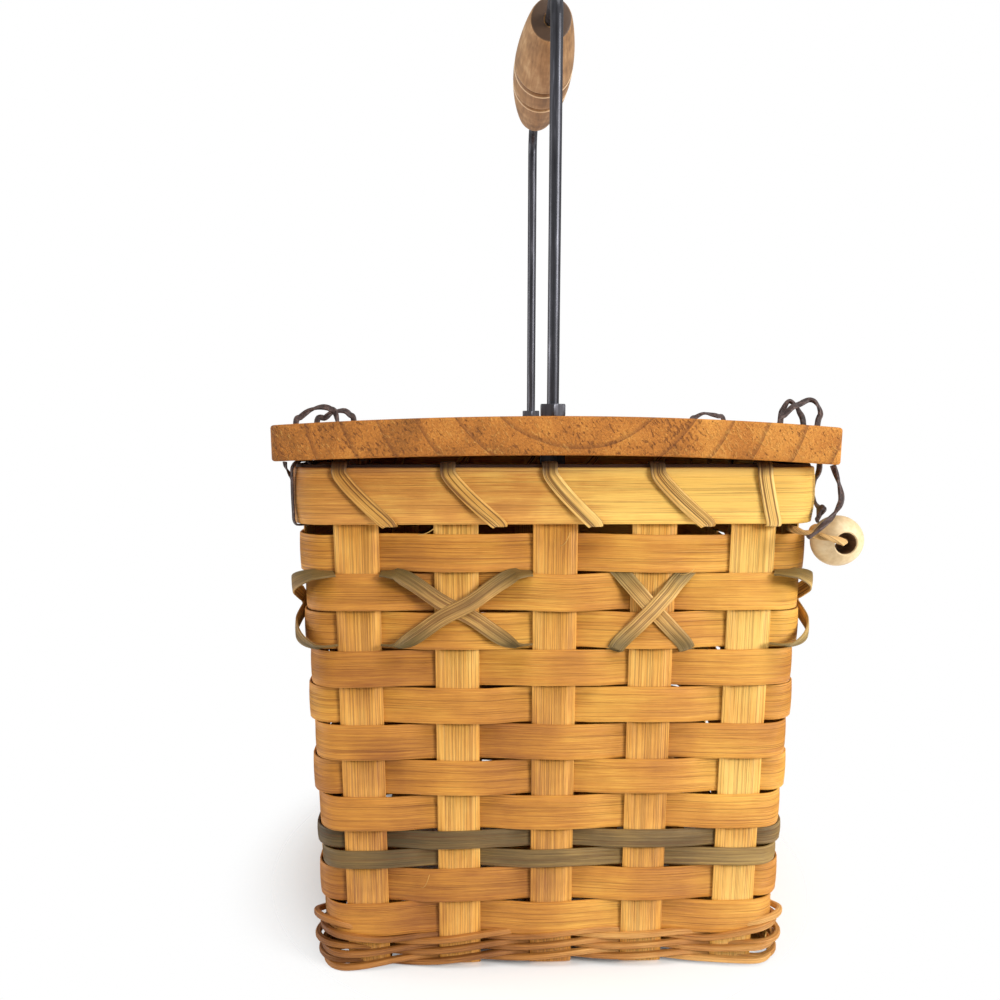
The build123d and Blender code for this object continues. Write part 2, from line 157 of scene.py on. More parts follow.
def split_reed(name, dark, mid, pale, lines=0.3, line_mm=0.6, rare=0.56, painted_lid_shade=0.0, painted_light_rightward=0.65, dyed=0.0):
    """rattan reed, cut flat and oiled: fine fibres give a silky light along the strip, pores drawn out into
    dark lines give the grain, and stain in blotches and a tone of its own set each strip off from the next.
    The numbers say how dark, wide and rare the pores' lines are, how much painted shade falls under the lid's
    edge, how much painted light brightens the right side, and how much dye shows."""
    m, t, b = new_material(name)
    lay = node(t, "ShaderNodeAttribute", {"attribute_name": "lay"}).outputs["Vector"]
    tone = node(t, "ShaderNodeAttribute", {"attribute_name": "tone"}).outputs["Fac"]

    def along(per_m, across_mm, detail):
        """noise drawn out along the strip: so many marks in a metre, each so many millimetres wide"""
        scale = (per_m, 1000 / across_mm, 1000 / across_mm)
        stretched = node(t, "ShaderNodeMapping", Vector=lay, Scale=scale).outputs[0]
        return node(t, "ShaderNodeTexNoise", Vector=stretched, Scale=1.0, Detail=detail,
                    Roughness=0.7).outputs[0]

    fine = along(40.0, 0.5, 4.0)
    broad = along(9.0, 3.5, 2.0)
    pores = along(9.0, line_mm, 1.0)
    place = node(t, "ShaderNodeTexCoord").outputs["Object"]
    stain = node(t, "ShaderNodeTexNoise", Vector=place, Scale=22.0, Detail=4.0).outputs[0]
    sides = node(t, "ShaderNodeSeparateXYZ", Vector=place).outputs
    light = node(t, "ShaderNodeMath", times, i0=fine, i1=0.36).outputs[0]
    # painted light: paler to the right, on the key lamp's side, and painted shade: darker towards the foot
    shares = ((broad, 0.12), (stain, 0.38), (tone, 0.16), (sides["X"], painted_light_rightward), (sides["Z"], 0.3))
    for source, share in shares:
        light = node(t, "ShaderNodeMath", times_plus, i0=source, i1=share, i2=light).outputs[0]
    oiled = {"stops": ((0.4, dark), (0.54, mid), (0.68, pale))}
    colour = node(t, "ShaderNodeValToRGB", oiled, Fac=light).outputs[0]
    drawn = node(t, "ShaderNodeMapRange", Value=pores, From_Min=rare, From_Max=rare + 0.1,
                 To_Max=lines).outputs[0]
    shown = node(t, "ShaderNodeMix", of_colours, Factor=drawn, i6=colour, i7=rgb("#63340F")).outputs[2]
    if dyed:                # the dye has worn off the crosses' middle and is left at their ends
        away = node(t, "ShaderNodeMath", minus, i0=sides["Z"], i1=x_mid * MM).outputs[0]
        away = node(t, "ShaderNodeMath", unsigned, i0=away).outputs[0]
        kept = node(t, "ShaderNodeMapRange", Value=away, From_Min=0.35 * x_rise * MM, From_Max=x_rise * MM,
                    To_Max=dyed).outputs[0]
        shown = node(t, "ShaderNodeMix", of_colours, Factor=kept, i6=shown, i7=rgb("#5A4C26")).outputs[2]
    if painted_lid_shade:                # painted shade: darker towards the rim's top, where the lid's edge casts its shadow
        lid_shade_share = node(t, "ShaderNodeMapRange", Value=sides["Z"], From_Min=(rim_top - 2.0) * MM,
                     From_Max=(rim_top + 3.0) * MM, To_Max=painted_lid_shade).outputs[0]
        shown = node(t, "ShaderNodeMix", of_colours, Factor=lid_shade_share, i6=shown, i7=rgb("#2E2422")).outputs[2]
    t.links.new(shown, b.inputs["Base Color"])
    relief = node(t, "ShaderNodeMath", minus, i0=fine, i1=drawn).outputs[0]
    bumped = node(t, "ShaderNodeBump", Height=relief, Strength=0.6, Distance=0.0005).outputs[0]
    t.links.new(bumped, b.inputs["Normal"])
    b.inputs["Roughness"].default_value = 0.5
    b.inputs["Specular IOR Level"].default_value = 0.35
    return m


golden_reed = split_reed("oiled flat reed", "#985A20", "#C98632", "#ECB04A", lines=0.36, painted_light_rightward=0.4)
wall_stake = split_reed("oiled reed stake", "#A8692C", "#E09E44", "#F6C466", lines=0.36, rare=0.49,
                        painted_light_rightward=0.5)
rim_reed = split_reed("oiled rim reed", "#A0622A", "#D29142", "#F6C662", lines=0.3, painted_lid_shade=0.45, painted_light_rightward=1.0)
lash_reed = split_reed("oiled lashing reed", "#9C662C", "#D09846", "#F0C470", lines=0.8, line_mm=0.9,
                       rare=0.52, painted_lid_shade=0.9)
sage_reed = split_reed("sage dyed reed", "#504024", "#7A6036", "#AE8C4C", lines=0.4, rare=0.52)
sage_strip = split_reed("sage dyed cross strip", "#74582A", "#C49450", "#F0C472", lines=0.6, rare=0.49,
                        dyed=0.8)
round_reed = split_reed("oiled round reed", "#744218", "#B67836", "#E2AC60", lines=0.3)
# painted shade: the rim's filler is coloured near black for the shadow of the lid over it
lid_shaded_filler_reed = split_reed("round reed painted dark as lid shade", "#1E1614", "#2E2422", "#46352C", lines=0.3)
tie_reed = split_reed("raffia tie", "#8A5A2A", "#C08A48", "#DCB070", lines=0.6)


def leather(name):
    """split leather lace, waxed and worn: near black brown, with a soft light on its raised grain"""
    m, t, b = new_material(name)
    place = node(t, "ShaderNodeTexCoord").outputs["Object"]
    grain = node(t, "ShaderNodeTexNoise", Vector=place, Scale=700.0, Detail=5.0).outputs[0]
    waxed = {"stops": ((0.3, "#2A1E1B"), (0.55, "#4A3732"), (0.8, "#765C50"))}
    colour = node(t, "ShaderNodeValToRGB", waxed, Fac=grain).outputs[0]
    t.links.new(colour, b.inputs["Base Color"])
    bumped = node(t, "ShaderNodeBump", Height=grain, Strength=0.6, Distance=0.0004).outputs[0]
    t.links.new(bumped, b.inputs["Normal"])
    b.inputs["Roughness"].default_value = 0.5
    return m


def pine_board(name):
    """flat sawn softwood, sanded and stained: late wood in darker rings round a pith over the board, so that
    its top shows long stripes and its ends arches, with torn pores and raised flakes in the end grain, the
    flakes painted paler as highlights"""
    m, t, b = new_material(name)
    place = node(t, "ShaderNodeTexCoord").outputs["Object"]

    # the rings, bent by a slow noise and drawn out along the board
    bend = node(t, "ShaderNodeTexNoise", Vector=place, Scale=7.0, Detail=2.0).outputs["Color"]
    wavy = node(t, "ShaderNodeVectorMath", times_plus, i0=bend, i1=(0.016, 0.0, 0.012),
                i2=place).outputs[0]
    from_pith = node(t, "ShaderNodeMapping", Vector=wavy, Location=(-0.018, 0.0, -0.349),
                     Scale=(1.0, 0.03, 1.0)).outputs[0]
    rings = node(t, "ShaderNodeTexWave",
                 {"wave_type": "RINGS", "rings_direction": "Y", "wave_profile": "SAW"},
                 Vector=from_pith, Scale=18.0, Distortion=0.6, Detail=2.0).outputs["Fac"]
    late = node(t, "ShaderNodeMapRange", Value=rings, From_Min=0.84, From_Max=0.97, To_Max=0.62).outputs[0]

    # the stain: fibres and long blotches; the board made paler to the right is painted light from the key
    # lamp's side
    long_place = node(t, "ShaderNodeMapping", Vector=place, Scale=(900.0, 22.0, 900.0)).outputs[0]
    fibre = node(t, "ShaderNodeTexNoise", Vector=long_place, Scale=1.0, Detail=4.0,
                 Roughness=0.75).outputs[0]
    drawn_out = node(t, "ShaderNodeMapping", Vector=place, Scale=(30.0, 7.0, 30.0)).outputs[0]
    blotch = node(t, "ShaderNodeTexNoise", Vector=drawn_out, Scale=1.0, Detail=5.0,
                  Roughness=0.6).outputs[0]
    across = node(t, "ShaderNodeSeparateXYZ", Vector=place).outputs["X"]
    light = node(t, "ShaderNodeMath", times, i0=fibre, i1=0.4).outputs[0]
    for source, share in ((blotch, 0.6), (across, 0.45)):
        light = node(t, "ShaderNodeMath", times_plus, i0=source, i1=share, i2=light).outputs[0]
    stained = {"stops": ((0.36, "#82501F"), (0.5, "#B8722C"), (0.64, "#DA9642"))}
    colour = node(t, "ShaderNodeValToRGB", stained, Fac=light).outputs[0]
    ringed = node(t, "ShaderNodeMix", of_colours, Factor=late, i6=colour, i7=rgb("#74421C")).outputs[2]

    # the end grain, where the board faces front or back
    normal = node(t, "ShaderNodeNewGeometry").outputs["Normal"]
    facing = node(t, "ShaderNodeSeparateXYZ", Vector=normal).outputs["Y"]
    end = node(t, "ShaderNodeMath", unsigned, i0=facing).outputs[0]
    end = node(t, "ShaderNodeMapRange", Value=end, From_Min=0.6, From_Max=0.95).outputs[0]
    tilted = node(t, "ShaderNodeMapping", {"vector_type": "TEXTURE"}, Vector=place,
                  Rotation=(0.0, 0.85, 0.0), Scale=(0.0034, 0.016, 0.0015)).outputs[0]
    pores = node(t, "ShaderNodeTexNoise", Vector=tilted, Scale=1.0, Detail=3.0, Roughness=0.6).outputs[0]
    patches = node(t, "ShaderNodeTexNoise", Vector=place, Scale=60.0, Detail=2.0).outputs[0]
    torn = node(t, "ShaderNodeMath", times_plus, i0=patches, i1=0.35, i2=pores).outputs[0]
    pits = node(t, "ShaderNodeMapRange", Value=torn, From_Min=0.76, From_Max=0.84).outputs[0]
    flakes = node(t, "ShaderNodeMapRange", Value=torn, From_Min=0.6, From_Max=0.5).outputs[0]
    open_pores = node(t, "ShaderNodeMath", times, i0=pits, i1=end).outputs[0]
    raised = node(t, "ShaderNodeMath", times, i0=flakes, i1=end).outputs[0]
    # painted highlight: the raised flakes of the end grain are mixed towards a pale colour, and they also
    # raise the bump
    share = node(t, "ShaderNodeMath", times, i0=raised, i1=0.34).outputs[0]
    lit = node(t, "ShaderNodeMix", of_colours, Factor=share, i6=ringed, i7=rgb("#E0A654")).outputs[2]
    share = node(t, "ShaderNodeMath", times, i0=open_pores, i1=0.66).outputs[0]
    final = node(t, "ShaderNodeMix", of_colours, Factor=share, i6=lit, i7=rgb("#6A3A18")).outputs[2]
    t.links.new(final, b.inputs["Base Color"])

    relief = node(t, "ShaderNodeMath", minus, i0=fibre, i1=open_pores).outputs[0]
    relief = node(t, "ShaderNodeMath", times_plus, i0=raised, i1=0.6, i2=relief).outputs[0]
    bumped = node(t, "ShaderNodeBump", Height=relief, Strength=0.8, Distance=0.0009).outputs[0]
    t.links.new(bumped, b.inputs["Normal"])
    b.inputs["Roughness"].default_value = 0.65
    b.inputs["Specular IOR Level"].default_value = 0.25
    return m


def turned(name, dark, mid, pale, end, rough=0.5, groove_y=None):
    """hardwood turned on a lathe and worn by hands: fibres along the axis, wear in soft patches, and end
    faces in the colour end, for end grain that took more of the stain and, on the grip, painted shade as well"""
    m, t, b = new_material(name)
    place = node(t, "ShaderNodeTexCoord").outputs["Object"]
    long_place = node(t, "ShaderNodeMapping", Vector=place, Scale=(600.0, 40.0, 600.0)).outputs[0]
    fibre = node(t, "ShaderNodeTexNoise", Vector=long_place, Scale=1.0, Detail=5.0).outputs[0]
    wear = node(t, "ShaderNodeTexNoise", Vector=place, Scale=70.0, Detail=5.0).outputs[0]
    light = node(t, "ShaderNodeMath", times, i0=wear, i1=0.6).outputs[0]
    light = node(t, "ShaderNodeMath", times_plus, i0=fibre, i1=0.4, i2=light).outputs[0]
    worn = {"stops": ((0.36, dark), (0.52, mid), (0.68, pale))}
    shown = node(t, "ShaderNodeValToRGB", worn, Fac=light).outputs[0]
    # the end faces take the colour end: end grain that takes more stain, and on the grip also painted shade
    normal = node(t, "ShaderNodeNewGeometry").outputs["Normal"]
    facing = node(t, "ShaderNodeSeparateXYZ", Vector=normal).outputs["Y"]
    ends = node(t, "ShaderNodeMath", unsigned, i0=facing).outputs[0]
    ends = node(t, "ShaderNodeMapRange", Value=ends, From_Min=0.9, From_Max=0.97).outputs[0]
    if groove_y:            # painted shade in the turned grooves and a painted highlight along their edges
        away = node(t, "ShaderNodeSeparateXYZ", Vector=place).outputs["Y"]
        away = node(t, "ShaderNodeMath", unsigned, i0=away).outputs[0]
        away = node(t, "ShaderNodeMath", minus, i0=away, i1=groove_y * MM).outputs[0]
        away = node(t, "ShaderNodeMath", unsigned, i0=away).outputs[0]
        groove_shade_share = node(t, "ShaderNodeMapRange", Value=away, From_Min=0.0009, From_Max=0.0034, To_Min=0.9,
                    To_Max=0.0).outputs[0]
        groove_shaded_colour = node(t, "ShaderNodeMix", of_colours, Factor=groove_shade_share, i6=shown, i7=rgb("#5E3A20")).outputs[2]
        inner = node(t, "ShaderNodeMapRange", Value=away, From_Min=0.0027, From_Max=0.0031).outputs[0]
        outer = node(t, "ShaderNodeMapRange", Value=away, From_Min=0.0031, From_Max=0.0037, To_Min=1.0,
                     To_Max=0.0).outputs[0]
        # painted highlight: paler along the grooves' edges
        rubbed = node(t, "ShaderNodeMath", times, i0=inner, i1=outer).outputs[0]
        shown = node(t, "ShaderNodeMix", of_colours, Factor=rubbed, i6=groove_shaded_colour, i7=rgb("#E6C8A0")).outputs[2]
    ended = node(t, "ShaderNodeMix", of_colours, Factor=ends, i6=shown, i7=rgb(end)).outputs[2]
    t.links.new(ended, b.inputs["Base Color"])
    bumped = node(t, "ShaderNodeBump", Height=fibre, Strength=0.35, Distance=0.0003).outputs[0]
    t.links.new(bumped, b.inputs["Normal"])
    b.inputs["Roughness"].default_value = rough
    return m


def blackened_steel(name):
    """cold drawn rod with a dark oxide skin, rubbed to a brighter grey in long patches"""
    m, t, b = new_material(name)
    place = node(t, "ShaderNodeTexCoord").outputs["Object"]
    long_place = node(t, "ShaderNodeMapping", Vector=place, Scale=(500.0, 500.0, 40.0)).outputs[0]
    rub = node(t, "ShaderNodeTexNoise", Vector=long_place, Scale=1.0, Detail=4.0).outputs[0]
    oxide = {"stops": ((0.3, "#2C2C30"), (0.6, "#44444A"), (0.85, "#787880"))}
    colour = node(t, "ShaderNodeValToRGB", oxide, Fac=rub).outputs[0]
    t.links.new(colour, b.inputs["Base Color"])
    b.inputs["Metallic"].default_value = 0.6
    b.inputs["Roughness"].default_value = 0.36
    return m


groove_y = 12.0         # from the grip's middle to each of its grooves
lace_leather = leather("waxed leather lace")
board = pine_board("stained pine board")
worn_grip = turned("worn turned beech", "#84603C", "#AA8054", "#CAA67A", "#4A3422", groove_y=groove_y)
pale_bead = turned("sanded birch bead", "#CDB084", "#DEC498", "#ECD8B2", "#D8BE90", rough=0.45)
# painted shade: the bead's bore is coloured dark brown for the shade inside the hole
bore_painted_shade = turned("birch bore, darkened as painted shade", "#4E3420", "#6E4C30", "#94704C", "#6E4C30", rough=0.8)
steel = blackened_steel("blackened steel rod")


# reed laid along lines
def reed_tree():
    """sweeps a strip with a crowned face along lines whose points carry the way that the face looks"""
    g = bpy.data.node_groups.new("Lay Reed", "GeometryNodeTree")
    g.interface.new_socket("Geometry", in_out="INPUT", socket_type="NodeSocketGeometry")
    for name in ("Width", "Thickness", "Edge", "Crown", "Unevenness", "Wave", "Seed"):
        g.interface.new_socket(name, in_out="INPUT", socket_type="NodeSocketFloat")
    g.interface.new_socket("Material", in_out="INPUT", socket_type="NodeSocketMaterial")
    g.interface.new_socket("Geometry", in_out="OUTPUT", socket_type="NodeSocketGeometry")
    i = g.nodes.new("NodeGroupInput").outputs

    # the line, moved a little by a slow noise, mostly up and down
    pos = node(g, "GeometryNodeInputPosition").outputs[0]
    shifted = node(g, "ShaderNodeVectorMath", {"operation": "ADD"}, i0=pos, i1=i["Seed"]).outputs[0]
    noise = node(g, "ShaderNodeTexNoise", Vector=shifted, Scale=i["Wave"], Detail=2.0).outputs["Color"]
    centred = node(g, "ShaderNodeVectorMath", minus, i0=noise, i1=(0.5, 0.5, 0.5)).outputs[0]
    push = node(g, "ShaderNodeVectorMath", {"operation": "SCALE"}, i0=centred,
                Scale=i["Unevenness"]).outputs[0]
    flat = node(g, "ShaderNodeVectorMath", times, i0=push, i1=(0.2, 0.2, 1.0)).outputs[0]
    moved = node(g, "GeometryNodeSetPosition", Geometry=i["Geometry"], Offset=flat).outputs[0]
    curve = node(g, "GeometryNodeMeshToCurve", Mesh=moved).outputs[0]
    facing = node(g, "GeometryNodeInputNamedAttribute", {"data_type": "FLOAT_VECTOR"},
                  Name="facing").outputs[0]
    faced = node(g, "GeometryNodeSetCurveNormal", {"mode": "FREE"}, Curve=curve, Normal=facing).outputs[0]
    length = node(g, "GeometryNodeSplineParameter").outputs["Length"]
    kept = node(g, "GeometryNodeStoreNamedAttribute", {"data_type": "FLOAT", "domain": "POINT"},
                Geometry=faced, Name="run", Value=length).outputs[0]

    # the section: a rectangle with rounded edges, whose outer face swells to a crown in the middle
    rect = node(g, "GeometryNodeCurvePrimitiveQuadrilateral", Width=i["Thickness"],
                Height=i["Width"]).outputs[0]
    cut = node(g, "GeometryNodeSubdivideCurve", Curve=rect, Cuts=3).outputs[0]
    rounded = node(g, "GeometryNodeFilletCurve", {"mode": "POLY"}, Curve=cut, Radius=i["Edge"], Count=2,
                   Limit_Radius=True).outputs[0]
    at = node(g, "GeometryNodeInputPosition").outputs[0]
    part = node(g, "ShaderNodeSeparateXYZ", Vector=at).outputs
    share = node(g, "ShaderNodeMath", {"operation": "DIVIDE"}, i0=part["Y"], i1=i["Width"]).outputs[0]
    square = node(g, "ShaderNodeMath", times, i0=share, i1=share).outputs[0]
    arch = node(g, "ShaderNodeMath", times_plus, i0=square, i1=-4.0, i2=1.0).outputs[0]
    face = node(g, "ShaderNodeMath", {"operation": "DIVIDE"}, i0=part["X"], i1=i["Thickness"]).outputs[0]
    face = node(g, "ShaderNodeMath", {"operation": "ADD"}, i0=face, i1=0.5).outputs[0]
    swell = node(g, "ShaderNodeMath", times, i0=arch, i1=face).outputs[0]
    swell = node(g, "ShaderNodeMath", times, i0=swell, i1=i["Crown"]).outputs[0]
    lifted = node(g, "ShaderNodeCombineXYZ", X=swell).outputs[0]
    crowned = node(g, "GeometryNodeSetPosition", Geometry=rounded, Offset=lifted).outputs[0]
    drawn = node(g, "GeometryNodeInputPosition").outputs[0]
    profile = node(g, "GeometryNodeStoreNamedAttribute", {"data_type": "FLOAT_VECTOR", "domain": "POINT"},
                   Geometry=crowned, Name="across", Value=drawn).outputs[0]
    swept = node(g, "GeometryNodeCurveToMesh", Curve=kept, Profile_Curve=profile, Fill_Caps=True).outputs[0]

    # the place on the strip, for the fibres of its material: along, across and through, in metres
    run = node(g, "GeometryNodeInputNamedAttribute", {"data_type": "FLOAT"}, Name="run").outputs[0]
    across = node(g, "GeometryNodeInputNamedAttribute", {"data_type": "FLOAT_VECTOR"},
                  Name="across").outputs[0]
    parts = node(g, "ShaderNodeSeparateXYZ", Vector=across).outputs
    tone = node(g, "GeometryNodeInputNamedAttribute", {"data_type": "FLOAT"}, Name="tone").outputs[0]
    lane = node(g, "ShaderNodeMath", times_plus, i0=tone, i1=3.7, i2=parts["Y"]).outputs[0]
    lay = node(g, "ShaderNodeCombineXYZ", X=run, Y=lane, Z=parts["X"]).outputs[0]
    named = node(g, "GeometryNodeStoreNamedAttribute", {"data_type": "FLOAT_VECTOR", "domain": "POINT"},
                 Geometry=swept, Name="lay", Value=lay).outputs[0]
    real = node(g, "GeometryNodeRealizeInstances", Geometry=named).outputs[0]
    smooth = node(g, "GeometryNodeSetShadeSmooth", Geometry=real).outputs[0]
    done = node(g, "GeometryNodeSetMaterial", Geometry=smooth, Material=i["Material"]).outputs[0]
    g.links.new(done, g.nodes.new("NodeGroupOutput").inputs[0])
    return g


lay_reed = reed_tree()


def plain_mesh(o, name):
    """the evaluated object as a plain mesh piece"""
    graph = bpy.context.evaluated_depsgraph_get()
    mesh = bpy.data.meshes.new_from_object(o.evaluated_get(graph), preserve_all_data_layers=True,
                                           depsgraph=graph)
    mesh.name = name
    piece = bpy.data.objects.new(name, mesh)
    bpy.context.collection.objects.link(piece)
    bpy.data.objects.remove(o)
    return piece


round_edge = 0.49       # the share of the thickness that makes a strip's edges round


def reeds(name, lines, width, thickness, material, crown=0.3, uneven=0.0, wave=22.0, seed=1.0, edge_r=0.38):
    """one piece of strips. Each line is (points, ways that the face looks, whether it is closed, tone), and
    where the width varies also a list of its share at each point. Sizes are in millimetres, edge_r is a share
    of the thickness."""
    verts, edges, facing, tone, size = [], [], [], [], []
    for points, ways, closed, shade, *shares in lines:
        first, last = len(verts), len(verts) + len(points) - 1
        size += shares[0] if shares else [1.0] * len(points)
        verts += [tuple(v * MM for v in p) for p in points]
        facing += ways
        tone += [shade] * len(points)
        edges += [(i, i + 1) for i in range(first, last)]
        if closed:
            edges.append((last, first))
    mesh = bpy.data.meshes.new(name + " lines")
    mesh.from_pydata(verts, edges, [])
    flat_ways = [part for way in facing for part in way]
    mesh.attributes.new("facing", "FLOAT_VECTOR", "POINT").data.foreach_set("vector", flat_ways)
    mesh.attributes.new("tone", "FLOAT", "POINT").data.foreach_set("value", tone)
    mesh.attributes.new("radius", "FLOAT", "POINT").data.foreach_set("value", size)
    o = bpy.data.objects.new(name + " lines", mesh)
    bpy.context.collection.objects.link(o)
    mod = o.modifiers.new("reed", "NODES")
    mod.node_group = lay_reed
    inputs = {"Width": width * MM, "Thickness": thickness * MM, "Edge": edge_r * thickness * MM,
              "Crown": crown * MM, "Unevenness": uneven * MM, "Wave": wave, "Seed": seed,
              "Material": material}
    for socket in lay_reed.interface.items_tree:
        if socket.name in inputs:
            mod[socket.identifier] = inputs[socket.name]
    return plain_mesh(o, name)


def stand_for(piece, body, slot, *nodes):
    """the piece takes the nodes' place and rides on the body"""
    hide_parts(*nodes)
    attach(piece, body)
    return piece


def smooth_step(f):
    """0 up to f = 0 and 1 from f = 1, with a soft start and end"""
    f = min(1.0, max(0.0, f))
    return f * f * (3 - 2 * f)


def eased(f, *pairs):
    """value at f of a smooth curve through pairs of (share, value)"""
    for (f0, v0), (f1, v1) in zip(pairs, pairs[1:]):
        if f <= f1:
            return v0 + (v1 - v0) * smooth_step((f - f0) / (f1 - f0))
    return pairs[-1][1]


def curve_point(a, b, c, d, t):
    """the point at the share t of the way from b to c, on a smooth curve from a, through both, to d"""
    bent = 2 * a - 5 * b + 4 * c - d
    return 0.5 * (2 * b + (c - a) * t + bent * t * t + (3 * b - a - 3 * c + d) * t ** 3)


random.seed(7)          # the strips' tones


# weavers
def between(s):
    """which stake lies before s, and the share of the way from its middle to the next one's"""
    s = (s - stake_s[0]) % way_round + stake_s[0]
    i = max(k for k in range(len(stake_s)) if stake_s[k] <= s + 1e-9)
    after = stake_s[i + 1] if i + 1 < len(stake_s) else stake_s[0] + way_round
    return i, (s - stake_s[i]) / (after - stake_s[i])


def ring(z, step, start, off, rise=None, swelling=None):
    """closed line round the wall, a point every step: off, rise and swelling give the way out, the way up and
    the share of the width at the distance s"""
    points, ways, shares = [], [], []
    n = int(way_round / step)
    for k in range(n):
        s = start + way_round * k / n
        level = z + (rise(s) if rise else 0.0)
        x, y, nx, ny = around(s, off(s), level)
        points.append((x, y, level))
        ways.append((nx, ny, 0.0))
        shares.append(swelling(s) if swelling else 1.0)
    return points, ways, True, random.uniform(0.25, 0.8), shares


def swaying(first, amount):
    """out over one stake and in behind the next, in one even wave"""
    def off(s):
        i, f = between(s)
        return (amount if (i % 2 == 1) == first else -amount) * math.cos(math.pi * f)
    return off


weave_out = 2.0         # the weavers' way out and in, a little over the solids' at a stake's middle
line_step = 4.0         # between the points of a line round the wall
names = ["row_12", "row_11", "green_row_lower", "green_row_upper"]
names += [f"row_{n:02d}" for n in range(8, 0, -1)]
for i, name in enumerate(names):        # from the foot up
    green, odd = name.startswith("green"), i % 2 == 1
    out = swaying(odd, weave_out)
    reed, width, slot = (sage_reed, green_w, "green_reed") if green else (golden_reed, row_w, "reed")
    line = ring((low(name) + high(name)) / 2, line_step, stake_s[10 if odd else 11], out,
                swelling=lambda s: 0.975 + 0.045 * out(s) / weave_out)
    weaver = reeds(name + "_reed", [line], width, reed_t, reed, crown=0.35, uneven=2.6, seed=3.1 * i + 1)
    stand_for(weaver, "basket", slot, name)

# stakes
stake_top = high("stakes_front_back")
foot = wall - wall_lean


def strap(over):
    """side view of one strap: down a wall, woven through the base and up the other wall"""
    half_t = stake_t / 2
    base_gap = 0.3          # between a strap of the base and the one that passes over it
    upright = [(wall, stake_top), (wall, rim_top - 10), (wall, wall_top)]
    leaning = [(wall - wall_lean * f, wall_top * (1 - f)) for f in [i / 24 for i in range(1, 24)]]
    turning_in = [(foot, 4.0), (foot - 0.7, 1.9), (foot - 2.6, half_t)]
    wall_line = upright + leaning + turning_in
    floor_line = []
    prev = half_t
    for p, up in zip(places, over):
        level = half_t + stake_t + base_gap if up else half_t
        if floor_line:
            floor_line.append((p - edge - 6, (prev + level) / 2))
        floor_line += [(p - edge, level), (p, level), (p + edge, level)]
        prev = level
    return [(-q, z) for q, z in wall_line] + floor_line + wall_line[::-1]


for name, turned_way in (("stakes_front_back", False), ("stakes_left_right", True)):
    lines = []
    for i, p in enumerate(places):
        path = strap([(i + j) % 2 == (0 if turned_way else 1) for j in range(len(places))])
        ways = []
        for a, b in zip(path[:1] + path[:-1], path[1:] + path[-1:]):
            dq, dz = b[0] - a[0], b[1] - a[1]
            ln = math.hypot(dq, dz)
            ways.append((dz / ln, 0, -dq / ln) if turned_way else (0, dz / ln, -dq / ln))
        points = [(q, p, z) if turned_way else (p, q, z) for q, z in path]
        lines.append((points, ways, False, random.uniform(0.25, 0.85)))
    straps = reeds(name + "_reed", lines, stake_w, stake_t, wall_stake, crown=0.25, seed=5.0)
    stand_for(straps, "basket", "reed", name)

# twining
strand_sway = stake_t / 2 + weave_gap + strand_d / 2
strand_rise = strand_d / 2 + 0.1
round_pitch = 2 * (strand_d / 2 + strand_rise) + 0.2
twine_z0 = strand_d / 2 + strand_rise + 0.6
strand_w, strand_t = 3.3, 3.2           # its section, a little over the solids'
strand_step = 3.5
corner_from = 84        # how far from a side's middle a corner starts to tell
corner_over = 42        # and over how long a stretch it comes to tell fully


def at_corner(s):
    """0 along a side and 1 at the corner"""
    t = abs(s - math.floor(s / side_len + 0.5) * side_len)
    return smooth_step((t - corner_from) / corner_over)


lifts = ((-1.2, 0.4), (1.5, 4.5), (7.5, 12.5))      # how far each round's two strands climb at the corners


def crossing_rise(phase, n):
    """how high a strand runs: over and under the other between stakes, in slow waves, lifted at a corner"""
    def rise(s):
        i, f = between(s)
        c = at_corner(s)
        slow = 0.8 * math.sin(2 * math.pi * s / way_round * 3 + 0.7)
        slow += 1.4 * (1 + math.cos(2 * math.pi * s / side_len))
        cross = (strand_rise if i % 2 == phase else -strand_rise) * math.sin(math.pi * f)
        return cross * (1 - 0.5 * c) + slow * (1 - c) + c * lifts[n][phase]
    return rise


def loose(phase, n):
    """how far out a strand runs: in and out of the stakes, and away from the wall at a corner"""
    hug = swaying(phase == 1, strand_sway)

    def off(s):
        return hug(s) + at_corner(s) * (2.6 if n == 0 else 3.4 + 0.9 * phase)
    return off


for phase, name in enumerate(("base_twining_a", "base_twining_b")):
    lines = []
    for n in range(rounds):
        z = twine_z0 + n * round_pitch
        lines.append(ring(z, strand_step, stake_s[10 + phase], loose(phase, n), crossing_rise(phase, n)))
    strands = reeds(name + "_reed", lines, strand_w, strand_t, round_reed, crown=0.0, seed=2.0 + phase,
                    edge_r=round_edge)
    stand_for(strands, "basket", "round_reed", name)

# crosses
x_off = weave_out + reed_t / 2 + weave_gap + 0.6        # how far out a strip lies where it crosses a weaver
over_other = 1.1        # how much further out the climbing strip lies, over the falling one
loop_out = 3.4          # how far a strip stands off the wall at a corner
end_turn = 1.3          # how far the ends turn on edge, in radians
short_crosses = (3, 13)                 # the stakes whose X goes straight in beside them
short_reach = 22.0      # half such an X's width
cross_steps = 40        # of each half of a strip, from its middle to its end
shown_cross_w = cross_w + 1.5           # as seen, a little wider than the solids'
strip_t = 0.9           # the reed of the crosses and the lashings

